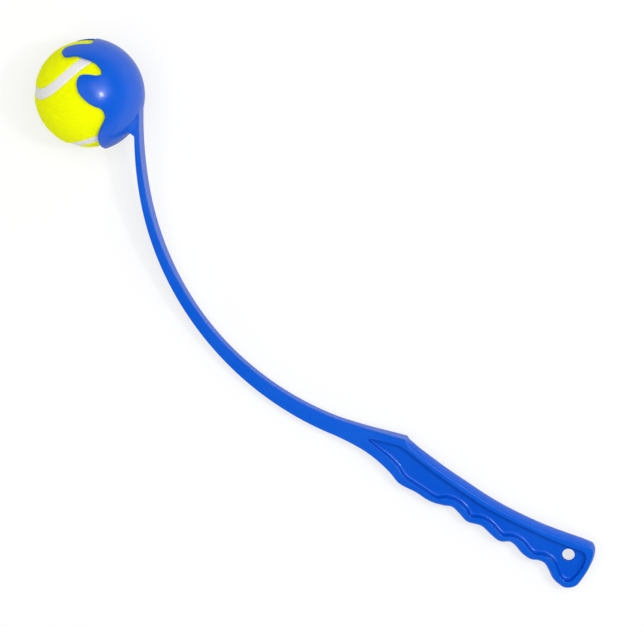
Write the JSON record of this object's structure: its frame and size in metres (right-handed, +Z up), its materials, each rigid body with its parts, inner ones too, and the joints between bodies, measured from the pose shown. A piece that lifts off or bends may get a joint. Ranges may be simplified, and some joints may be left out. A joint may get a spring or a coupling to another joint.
{
  "type": "dog ball thrower",
  "caption": "Long bent plastic throwing arm with a finger-grooved handle, a hang hole and a clawed cup that holds a tennis ball.",
  "frame": {"origin": "middle of the footprint, on the surface that the part lies on", "axes": "+Z up with the part lying on its side, +X from the cup to the handle's butt, +Y towards the hollow side of the bent arm"},
  "size_m": [0.4656, 0.0964, 0.0682],
  "materials": {
    "blue_plastic": "smooth glossy moulded polypropylene",
    "yellow_felt": "needled wool and nylon felt",
    "seam_rubber": "matt off-white vulcanised seam",
    "black_rubber": "matt moulded rubber"
  },
  "bodies": {
    "launcher": {"cup": "blue_plastic", "arm": "blue_plastic", "handle": "blue_plastic"},
    "ball": {"ball_core_half_a": "black_rubber", "ball_core_half_b": "black_rubber", "ball_felt_panel_a": "yellow_felt", "ball_felt_panel_b": "yellow_felt", "ball_seam": "seam_rubber"}
  },
  "joints": [
    {"name": "ball_release", "type": "slide", "parent": "launcher", "child": "ball", "axis": [-0.3869, -0.8956, -0.2198], "range_m": [0, 0.08]}
  ]
}
